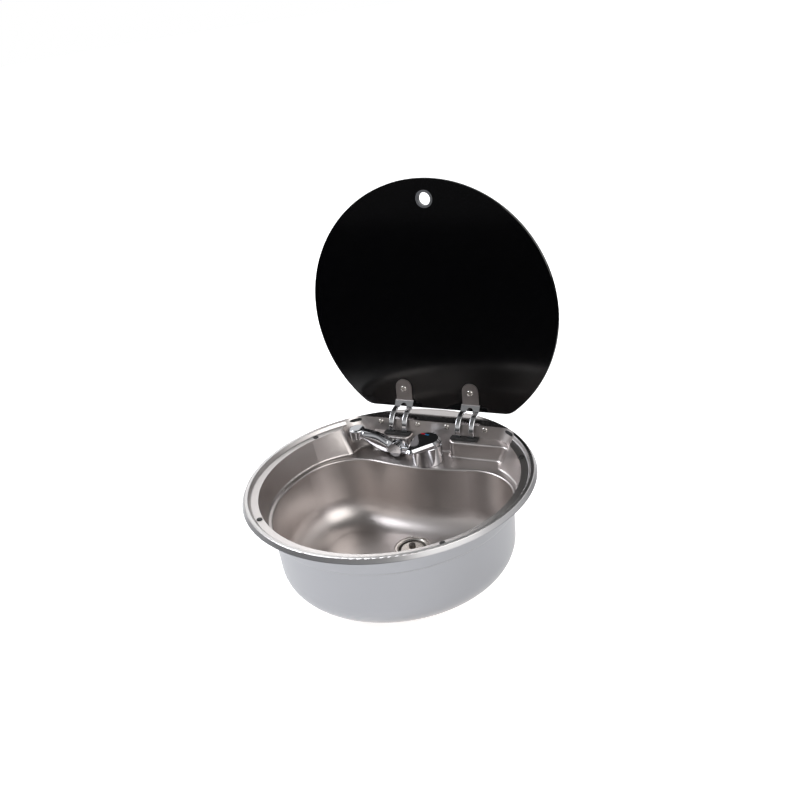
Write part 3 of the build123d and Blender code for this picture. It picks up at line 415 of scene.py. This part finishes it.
class Finish(Enum):
    """Every finish on the sink, each named for the real one."""

    # Drawn stainless sheet with a pearl surface: soft, wide highlights and a warm grey. The
    # outside is duller, and darker and cooler by a painted shade; the rim's crest is smoother,
    # and lighter by a painted highlight; the rear flat is smoothest.
    PRESSED = MetalFinish("pearl_pressed_stainless", "#C6C1BF", "#BBB5B3", 0.36, 0.03, 0.5, 0.02,
                          # The outer look is painted shade: a darker, cooler colour on the same
                          # steel.
                          looks=(Look(Zone.OUTSIDE_PAINTED_SHADE, "#999A9E", 0.40),
                                 # The crest look is smoother polish plus a painted highlight, a
                                 # lighter colour on upward faces.
                                 Look(Zone.CREST_PAINTED_HIGHLIGHT, "#D2D0D0", 0.29, 0.9),
                                 Look(Zone.REAR_FLAT, "#C6C1C0", 0.14, 3.0)))
    # Chromium plate over brass, buffed: sharp black and white reflections.
    CHROME = MetalFinish("buffed_chrome_plate", "#CBCCD0", "#BFC1C5", 0.06, 0.02, 1.5, 0.003)
    # Cut strap: bright nickelled legs, and a brushed tongue with streaks along its length.
    STRAP = MetalFinish("nickelled_steel_strap", "#D9DADC", "#CACBCE", 0.12, 0.03, 0.3, 0.04,
                        (1.0, 1.0, 14.0), (Look(Zone.ABOVE, "#A5A09F", 0.34, 24.7),))
    # Zinc-plated plate behind the wall.
    PLATED = MetalFinish("zinc_plated_bracket", "#A7A5A2", "#8E8C8A", 0.34, 0.08, 0.5, 0.04)
    # Hinge pins, screws and nuts, tumbled bright.
    TUMBLED = MetalFinish("tumbled_stainless_screw", "#DAD8D4", "#C6C3BE", 0.20, 0.06, 0.4, 0.03)
    # Turned brass, left plain under the deck, with turning marks round it.
    BRASS = MetalFinish("turned_brass", "#B3A384", "#9C8D70", 0.30, 0.06, 0.3, 0.04,
                        (6.0, 6.0, 1.0))
    # Spun stainless of the drain: a bright brim, and a dull bore whose dark colour is painted
    # shade.
    SPUN = MetalFinish("spun_stainless_drain", "#4E4A46", "#3C3936", 0.45, 0.05, 0.3, 0.04,
                       looks=(Look(Zone.ABOVE, "#E2DED8", 0.22, -141.9),))
    # Spun disc of the plug, bright, with a dull dark knob.
    PLUG = MetalFinish("spun_plug_disc", "#E6E2DB", "#D2CDC5", 0.26, 0.05, 0.3, 0.04,
                       looks=(Look(Zone.ABOVE, "#55514D", 0.38, -141.4),))
    # Woven steel cloth in the spout's mouth.
    WOVEN = MetalFinish("woven_steel_cloth", "#B9BABB", "#9FA0A1", 0.34, 0.06, 0.3, 0.04)
    # Toughened glass, printed black behind: a deep, clean mirror.
    GLASS = MouldedFinish("black_backed_toughened_glass", "#050506", "#030304", 0.09, 0.01, 9.0,
                          0.0005)
    # Moulded rubber: dull black with a soft sheen.
    RUBBER = MouldedFinish("moulded_black_rubber", "#161616", "#0E0E0E", 0.62, ior=1.52)
    # Injection-moulded polypropylene of the drain's cup.
    PLASTIC = MouldedFinish("moulded_black_polypropylene", "#1B1B1C", "#131314", 0.45, ior=1.49)
    # Closed-cell foam under the rim: a dull dark grey, full of small cells.
    FOAM = MouldedFinish("closed_cell_rim_foam", "#2A2A2B", "#1F1F20", 0.85, 0.05, 0.7, 0.25)
    # Grey acetal of the finger ring and the cartridge.
    ACETAL = MouldedFinish("turned_grey_acetal", "#5B5C5F", "#4C4D50", 0.32, ior=1.48)
    # Epoxy fill of the hot and the cold mark.
    HOT = MouldedFinish("crimson_epoxy_mark", "#B5172C", "#A01024", 0.18)
    COLD = MouldedFinish("teal_epoxy_mark", "#1E6E9E", "#175D88", 0.18)


class Paintbox:
    """Builds each finish once and hands it out."""

    def __init__(self) -> None:
        """Start with nothing mixed."""
        self._made: dict[Finish, bpy.types.Material] = {}

    def get(self, finish: Finish) -> bpy.types.Material:
        """Give the material of a finish, and build it the first time.

        Args:
            finish: The finish that is wanted.

        Returns:
            Its material.
        """
        if finish not in self._made:
            self._made[finish] = finish.value.material()
        return self._made[finish]

    def dress(self, nodes: dict[str, bpy.types.Object], names: list[str],
              finish: Finish) -> None:
        """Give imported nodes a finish.

        Args:
            nodes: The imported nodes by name.
            names: The nodes to dress.
            finish: Their finish.
        """
        for name in names:
            mesh = nodes[name].data
            mesh.materials.clear()
            mesh.materials.append(self.get(finish))
            LOG.info("%s is %s", name, finish.value.name)


@dataclass
class SinkShell:
    """The pressed sheet with its rim, well, deck and bowl, and the four lid buffers.

    Attributes:
        paint: The finishes.
        buffers: The nodes of the buffers.
        foam_r: The foam cord's radius round the sink's axis, in millimetres.
        foam_half: Half the cord's width, in millimetres.
        foam_h: The cord's height, in millimetres.
        foam_lift: The cord's height over the rim's seat, in millimetres.
    """

    paint: Paintbox
    buffers: tuple[str, ...] = ("buffer_rear_left", "buffer_rear_right",
                                "buffer_front_left", "buffer_front_right")
    foam_r: float = 204.0
    foam_half: float = 2.5
    foam_h: float = 4.2
    foam_lift: float = 0.1

    def foam(self) -> None:
        """Lay the foam cord that seals the rim to the worktop.

        A half ellipse, closed along its foot, is carried once round the sink's axis.
        """
        turn = np.linspace(0, 2 * math.pi, 180, endpoint=False)
        bow = np.linspace(0, math.pi, 13)
        foot = np.linspace(-1, 1, 5)[1:]
        across = np.concatenate([np.cos(bow), foot]) * self.foam_half
        rise = np.concatenate([np.sin(bow) * self.foam_h, np.zeros(foot.size)]) + self.foam_lift
        radius = self.foam_r + across
        grid = np.stack([np.outer(radius, np.cos(turn)), np.outer(radius, np.sin(turn)),
                         np.outer(rise, np.ones(turn.size))], axis=-1) * MM
        cord = mesh_from_grid("rim_foam", grid, wrap=True, merge=True)
        cord.data.materials.append(self.paint.get(Finish.FOAM))
        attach(cord, "sink")

    def dress(self, nodes: dict[str, bpy.types.Object]) -> None:
        """Give the sheet its pearl surface and the buffers their rubber, and lay the foam.

        Args:
            nodes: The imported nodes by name.
        """
        self.paint.dress(nodes, ["sink_bowl"], Finish.PRESSED)
        self.paint.dress(nodes, list(self.buffers), Finish.RUBBER)
        self.foam()


@dataclass
class GlassLid:
    """The black glass with its finger ring."""

    paint: Paintbox

    def dress(self, nodes: dict[str, bpy.types.Object]) -> None:
        """Give the glass and its ring their finishes.

        Args:
            nodes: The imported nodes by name.
        """
        self.paint.dress(nodes, ["lid_glass"], Finish.GLASS)
        self.paint.dress(nodes, ["lid_grommet"], Finish.ACETAL)


@dataclass
class LidHinges:
    """The two strap hinges, from the glass to the rear wall."""

    paint: Paintbox
    sides: tuple[str, ...] = ("left", "right")

    def dress(self, nodes: dict[str, bpy.types.Object]) -> None:
        """Give each strap, pad, pin, screw and housing its finish.

        Args:
            nodes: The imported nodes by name.
        """
        for side in self.sides:
            self.paint.dress(nodes, [f"hinge_strap_{side}"], Finish.STRAP)
            self.paint.dress(nodes, [f"hinge_pad_{side}", f"hinge_gasket_{side}"],
                             Finish.RUBBER)
            self.paint.dress(nodes, [f"hinge_housing_{side}"], Finish.PLATED)
            screws = [f"hinge_pin_{side}", f"lid_screw_{side}", f"lid_nut_{side}",
                      f"wall_screw_{side}_outer", f"wall_screw_{side}_inner"]
            self.paint.dress(nodes, screws, Finish.TUMBLED)


@dataclass
class FoldingTap:
    """The mixer tap with its fold-down spout and lever. Lengths are in millimetres.

    Attributes:
        paint: The finishes.
        axis: The place of the tap's upright axis.
        spout_deg: The heading of the spout at rest.
        mesh_u: The distance from the axis to the middle of the spout's mouth.
        mesh_r: The cloth's radius.
        mesh_z: The cloth's mean height.
        mesh_pitch: The pitch of the weave.
        mesh_wave: The height of the weave's waves.
        thread_r: The radius of the thread's roots.
        thread_pitch: The thread's pitch.
        thread_wave: Half the thread's depth.
        thread_z: The thread's two ends.
        casing_shift: How far the casing's middle lies to the side of the heading.
        casing_u: The places of the casing's sections along the arm.
        casing_half: Half the width at each place.
        casing_top: The highest point at each place.
        casing_low: The lowest point at each place.
        casing_side: The section's right half from top to foot, across, as a share.
        casing_rise: The same half, upward, as a share.
    """

    paint: Paintbox
    axis: tuple[float, float] = (5.0, 125.0)
    spout_deg: float = 174.3
    mesh_u: float = 121.0
    mesh_r: float = 9.4
    mesh_z: float = -12.9
    mesh_pitch: float = 1.5
    mesh_wave: float = 0.22
    thread_r: float = 13.54
    thread_pitch: float = 1.5
    thread_wave: float = 0.18
    thread_z: tuple[float, float] = (-78.4, -50.3)
    casing_shift: float = 0.5
    casing_u: tuple[float, ...] = (64.0, 70.0, 84.0, 100.0, 110.0)
    casing_half: tuple[float, ...] = (9.2, 9.0, 8.0, 8.5, 8.8)
    casing_top: tuple[float, ...] = (-10.4, -7.6, -1.9, -0.9, -0.3)
    casing_low: tuple[float, ...] = (-32.6, -33.6, -31.2, -21.5, -14.6)
    casing_side: tuple[float, ...] = (0.42, 1.0, 0.94, 0.5)
    casing_rise: tuple[float, ...] = (1.0, 0.3, -0.3, -1.0)

    def plan(self, along: np.ndarray | float,
             across: np.ndarray | float) -> tuple[np.ndarray | float, np.ndarray | float]:
        """Turn places along and across the spout into places in plan.

        Args:
            along: Distance from the tap's axis along the spout.
            across: Distance to the left of the spout's heading.

        Returns:
            The x and y of each place.
        """
        angle = math.radians(self.spout_deg)
        return (self.axis[0] + along * math.cos(angle) - across * math.sin(angle),
                self.axis[1] + along * math.sin(angle) + across * math.cos(angle))

    def outlet_mesh(self) -> None:
        """Fit the woven cloth in the spout's mouth.

        A disc whose height is the product of two cosines, one for each way of the weave.
        """
        turn = np.linspace(0, 2 * math.pi, 96, endpoint=False)
        reach = np.linspace(0, self.mesh_r, 40)
        x, y = np.outer(reach, np.cos(turn)), np.outer(reach, np.sin(turn))
        wave = 2 * math.pi / self.mesh_pitch
        middle = self.plan(self.mesh_u, 0.0)
        z = self.mesh_z + self.mesh_wave * np.cos(wave * x) * np.cos(wave * y)
        grid = np.stack([x + middle[0], y + middle[1], z], axis=-1) * MM
        cloth = mesh_from_grid("aerator_mesh", grid, wrap=True, merge=True)
        cloth.data.materials.append(self.paint.get(Finish.WOVEN))
        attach(cloth, "spout")

    def arm_casing(self) -> None:
        """Cast the spout arm's full, softly faceted casing over its core.

        Eight-sided sections with softened corners are carried along the arm, from the
        knuckle to the outlet. Each end closes through a section of half size to a point.
        """
        along, half, top, low = (cut_corners(np.array(run), 3, False) for run in
                                 (self.casing_u, self.casing_half, self.casing_top,
                                  self.casing_low))
        side, rise = np.array(self.casing_side), np.array(self.casing_rise)
        side = cut_corners(np.concatenate([side, -side[::-1]]), 2, True)
        rise = cut_corners(np.concatenate([rise, rise[::-1]]), 2, True)
        middle, reach = (top + low) / 2, (top - low) / 2
        across = np.outer(half, side) + self.casing_shift
        height = middle[:, None] + np.outer(reach, rise)
        body = np.stack([np.repeat(along[:, None], side.size, axis=1), across, height], axis=-1)
        caps = [np.stack([np.full(side.size, along[end]),
                          across[end] * size + across[end].mean() * (1 - size),
                          height[end] * size + middle[end] * (1 - size)], axis=-1)
                for end, size in ((0, 0.0), (0, 0.5), (-1, 0.5), (-1, 0.0))]
        local = np.concatenate([caps[:2], body, caps[2:]])
        x, y = self.plan(local[..., 0], local[..., 1])
        grid = np.stack([x, y, local[..., 2]], axis=-1) * MM
        casing = mesh_from_grid("arm_casing", grid, wrap=True, merge=True)
        casing.data.materials.append(self.paint.get(Finish.CHROME))
        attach(casing, "spout")

    def shank_thread(self) -> None:
        """Cut the thread on the shank below the back nut.

        The radius is a wave of the height less the turn, so that its crests run as a screw.
        """
        turn = np.linspace(0, 2 * math.pi, 48, endpoint=False)
        height = np.arange(self.thread_z[0], self.thread_z[1], self.thread_pitch / 6)
        phase = 2 * math.pi * height[:, None] / self.thread_pitch - turn[None, :]
        ease = np.clip((height - height[0]) / self.thread_pitch, 0, 1)[:, None]
        radius = self.thread_r + self.thread_wave * (1 + np.cos(phase)) * ease
        grid = np.stack([self.axis[0] + radius * np.cos(turn),
                         self.axis[1] + radius * np.sin(turn),
                         np.broadcast_to(height[:, None], radius.shape)], axis=-1) * MM
        screw = mesh_from_grid("shank_thread", grid, wrap=True)
        screw.data.materials.append(self.paint.get(Finish.BRASS))
        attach(screw, "sink")

    def dress(self, nodes: dict[str, bpy.types.Object]) -> None:
        """Give the tap its chrome above the deck and plain brass below it.

        Args:
            nodes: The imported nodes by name.
        """
        self.outlet_mesh()
        self.shank_thread()
        self.arm_casing()
        chrome = ["tap_core", "tap_sleeve", "tap_lever", "lever_stem", "spout_arm", "spout_pin",
                  "spout_aerator"]
        self.paint.dress(nodes, chrome, Finish.CHROME)
        brass = ["tap_backnut", "tap_washer", "inlet_left", "inlet_right"]
        self.paint.dress(nodes, brass, Finish.BRASS)
        self.paint.dress(nodes, ["tap_cartridge"], Finish.ACETAL)
        self.paint.dress(nodes, ["tap_seal"], Finish.RUBBER)
        self.paint.dress(nodes, ["lever_mark_hot"], Finish.HOT)
        self.paint.dress(nodes, ["lever_mark_cold"], Finish.COLD)


@dataclass
class BowlDrain:
    """The drain's flange, its screw and plug, and the cup below."""

    paint: Paintbox

    def dress(self, nodes: dict[str, bpy.types.Object]) -> None:
        """Give the drain its spun steel, plastic and rubber.

        Args:
            nodes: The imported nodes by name.
        """
        self.paint.dress(nodes, ["drain_flange"], Finish.SPUN)
        self.paint.dress(nodes, ["drain_screw"], Finish.TUMBLED)
        self.paint.dress(nodes, ["drain_plug"], Finish.PLUG)
        self.paint.dress(nodes, ["drain_cup"], Finish.PLASTIC)
        self.paint.dress(nodes, ["drain_seal"], Finish.RUBBER)


@dataclass(frozen=True)
class SoftBox:
    """One soft box lamp.

    Attributes:
        name: The lamp's name.
        spot: Where it hangs, in metres.
        aim: The point that it faces, in metres.
        size: Its width and height, in metres.
        power: Its power in watts.
        colour: Its colour, as sRGB hex.
    """

    name: str
    spot: tuple[float, float, float]
    aim: tuple[float, float, float]
    size: tuple[float, float]
    power: float
    colour: str

    def hang(self) -> None:
        """Hang the lamp so that it faces its aim."""
        data = bpy.data.lights.new(self.name, "AREA")
        data.shape = "RECTANGLE"
        data.size, data.size_y = self.size
        data.energy = self.power
        data.color = linear(self.colour)[:3]
        ray = np.array(self.aim) - np.array(self.spot)
        back = -ray / np.linalg.norm(ray)
        right = np.cross([0.0, 0.0, 1.0], back)
        right = right / np.linalg.norm(right)
        stand(self.name, data, np.array([right, np.cross(back, right), back]),
              np.array(self.spot))


@dataclass
class Studio:
    """The pale floor, the lamps, the world and the camera at the photograph's angle.

    Attributes:
        azimuth_deg: The camera's heading round the sink.
        elevation_deg: The camera's height over the rim's plane.
        roll_deg: The camera's roll.
        shift_mm: The rim's middle in the camera's view, to the right and up.
        distance_mm: The distance from the camera's plane to the rim's middle.
        raise_mm: The height of the fitted plane over the rim's seat.
        focal_px: The focal length, in the photograph's pixels.
        frame_px: The photograph's width, in pixels.
        sensor_mm: The width of the camera's sensor.
        floor_z: The floor's height, in metres.
        floor_rings: The radii of the floor's rings, in metres.
        floor_glow: The floor's own light, near the sink and far from it.
        glow_reach: The distances where the floor's light changes, in metres.
        table_reach: The distances where metal and glass stop seeing the bright floor.
        sky_rise: The heights of a ray where the sky dims.
        sky_light: The sky's light below and above those heights.
        front_rise: The heights of a ray where the dim front of the room brightens.
        front_light: The share of light below and above those heights.
        front_edge: The depths of a ray where the front gives way to the rear.
        lamps: The soft boxes.
    """

    azimuth_deg: float = 26.88
    elevation_deg: float = 25.93
    roll_deg: float = -8.03
    shift_mm: tuple[float, float] = (-16.08, -110.37)
    distance_mm: float = 1701.36
    raise_mm: float = 3.6
    focal_px: float = 1200.16
    frame_px: float = 800.0
    sensor_mm: float = 36.0
    floor_z: float = -0.181
    floor_rings: tuple[float, ...] = (0.0, 0.6, 2.0, 6.0)
    floor_glow: tuple[float, float] = (0.56, 0.9)
    glow_reach: tuple[float, float] = (0.35, 1.0)
    table_reach: tuple[float, float] = (0.6, 1.2)
    sky_rise: tuple[float, float] = (0.42, 0.85)
    sky_light: tuple[float, float] = (0.95, 0.16)
    front_rise: tuple[float, float] = (0.24, 0.42)
    front_light: tuple[float, float] = (0.08, 0.75)
    front_edge: tuple[float, float] = (-0.45, 0.1)
    lamps: tuple[SoftBox, ...] = (
        SoftBox("key_box", (1.35, -0.7, 1.25), (0, 0, -0.05), (1.8, 1.8), 24, "#FFFDFA"),
        SoftBox("left_box", (-1.5, -0.3, 1.2), (0, 0, -0.05), (1.0, 1.0), 26, "#F8FAFF"),
        SoftBox("rear_box", (-0.8, 1.3, 1.7), (0, 0, 0), (1.2, 0.5), 10, "#FFFFFF"))

    def axes(self) -> np.ndarray:
        """Work out the camera's right, up and back vectors.

        Returns:
            The three vectors, as rows.
        """
        a, e, r = (math.radians(v) for v in (self.azimuth_deg, self.elevation_deg,
                                             self.roll_deg))
        back = np.array([math.sin(a) * math.cos(e), -math.cos(a) * math.cos(e), math.sin(e)])
        right = np.array([math.cos(a), math.sin(a), 0.0])
        up = np.cross(back, right)
        turned = math.cos(r) * right + math.sin(r) * up
        return np.array([turned, np.cross(back, turned), back])

    def camera(self) -> None:
        """Place the camera where the photograph was taken from."""
        rows = self.axes()
        moved = np.array([self.shift_mm[0], self.shift_mm[1], -self.distance_mm])
        spot = -(rows.T @ moved) + np.array([0.0, 0.0, self.raise_mm])
        data = bpy.data.cameras.new("photo_camera")
        data.sensor_width = self.sensor_mm
        data.lens = self.focal_px / self.frame_px * data.sensor_width
        data.clip_start = 0.01
        bpy.context.scene.camera = stand("photo_camera", data, rows, spot * MM)

    def world(self) -> None:
        """Light the world: white to the eye and behind the sink, grey above, dim in front."""
        world = bpy.data.worlds.new("studio_world")
        bpy.context.scene.world = world
        world.use_nodes = True
        tree = world.node_tree
        tree.nodes.clear()
        way = add_node(tree, "ShaderNodeTexCoord")
        split = add_node(tree, "ShaderNodeSeparateXYZ", None, {0: way.outputs["Generated"]})
        sky = add_node(tree, "ShaderNodeMapRange",
                       {"From Min": self.sky_rise[0], "From Max": self.sky_rise[1],
                        "To Min": self.sky_light[0], "To Max": self.sky_light[1]},
                       {"Value": split.outputs[2]})
        front = add_node(tree, "ShaderNodeMapRange",
                         {"From Min": self.front_rise[0], "From Max": self.front_rise[1],
                          "To Min": self.front_light[0], "To Max": self.front_light[1]},
                         {"Value": split.outputs[2]})
        side = add_node(tree, "ShaderNodeMapRange",
                        {"From Min": self.front_edge[0], "From Max": self.front_edge[1],
                         "To Max": 1.0},
                        {"Value": split.outputs[1], "To Min": front.outputs[0]})
        room = add_node(tree, "ShaderNodeMath", {".operation": "MULTIPLY"},
                        {0: sky.outputs[0], 1: side.outputs[0]})
        path = add_node(tree, "ShaderNodeLightPath")
        eye = add_node(tree, "ShaderNodeMix", {".data_type": "FLOAT", 3: 1.0},
                       {0: path.outputs["Is Camera Ray"], 2: room.outputs[0]})
        glow = add_node(tree, "ShaderNodeBackground", {"Color": linear("#FFFFFF")},
                        {"Strength": eye.outputs[0]})
        add_node(tree, "ShaderNodeOutputWorld", None, {"Surface": glow.outputs[0]})

    def paper(self) -> bpy.types.Material:
        """Build the floor's paper.

        It glows white to the eye, and to metal and glass as far as a table would reach.
        Beyond that, metal and glass see a dark floor.

        Returns:
            The finished material.
        """
        made = new_material("pale_studio_paper")
        tree = made.node_tree
        path = add_node(tree, "ShaderNodeLightPath")
        place = add_node(tree, "ShaderNodeTexCoord").outputs["Object"]
        away = add_node(tree, "ShaderNodeVectorMath", {".operation": "LENGTH"},
                        {0: place}).outputs["Value"]
        near = add_node(tree, "ShaderNodeMapRange",
                        {".interpolation_type": "SMOOTHSTEP", "From Min": self.table_reach[0],
                         "From Max": self.table_reach[1], "To Min": 1.0, "To Max": 0.0},
                        {"Value": away})
        mirrored = add_node(tree, "ShaderNodeMath", {".operation": "MULTIPLY"},
                            {0: path.outputs["Is Glossy Ray"], 1: near.outputs[0]})
        both = add_node(tree, "ShaderNodeMath", {".operation": "MAXIMUM"},
                        {0: path.outputs["Is Camera Ray"], 1: mirrored.outputs[0]})
        beyond = add_node(tree, "ShaderNodeMath", {".operation": "SUBTRACT"},
                          {0: path.outputs["Is Glossy Ray"], 1: mirrored.outputs[0]})
        shade = add_node(tree, "ShaderNodeMix",
                         {".data_type": "RGBA", 6: linear("#F4F4F4"), 7: linear("#1A1B1D")},
                         {0: beyond.outputs[0]})
        plain = add_node(tree, "ShaderNodeBsdfDiffuse", None, {"Color": shade.outputs[2]})
        power = add_node(tree, "ShaderNodeMapRange",
                         {"From Min": self.glow_reach[0], "From Max": self.glow_reach[1],
                          "To Min": self.floor_glow[0], "To Max": self.floor_glow[1]},
                         {"Value": away})
        glow = add_node(tree, "ShaderNodeEmission", {"Color": linear("#FFFFFF")},
                        {"Strength": power.outputs[0]})
        white = add_node(tree, "ShaderNodeAddShader", None,
                         {0: plain.outputs[0], 1: glow.outputs[0]})
        seen = add_node(tree, "ShaderNodeMixShader", None,
                        {0: both.outputs[0], 1: plain.outputs[0], 2: white.outputs[0]})
        add_node(tree, "ShaderNodeOutputMaterial", None, {"Surface": seen.outputs[0]})
        return made

    def floor(self) -> None:
        """Lay a pale round floor that shows white and keeps the shadow."""
        turn = np.linspace(0, 2 * math.pi, 96, endpoint=False)
        reach = np.array(self.floor_rings)
        grid = np.stack([np.outer(reach, np.cos(turn)), np.outer(reach, np.sin(turn)),
                         np.full((reach.size, turn.size), self.floor_z)], axis=-1)
        floor = mesh_from_grid("studio_floor", grid, wrap=True)
        floor.data.materials.append(self.paper())

    def build(self) -> None:
        """Set the whole studio."""
        self.camera()
        self.world()
        self.floor()
        for lamp in self.lamps:
            lamp.hang()
        bpy.context.scene.view_settings.view_transform = "Standard"


def main() -> None:
    """Dress the sink, set the studio and report each piece."""
    logging.basicConfig(level=logging.INFO, format="%(message)s")
    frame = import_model()
    nodes = frame["nodes"]
    paint = Paintbox()
    for assembly in (SinkShell(paint), GlassLid(paint), LidHinges(paint), FoldingTap(paint),
                     BowlDrain(paint)):
        assembly.dress(nodes)
    Studio().build()


if __name__ == "__main__":
    main()
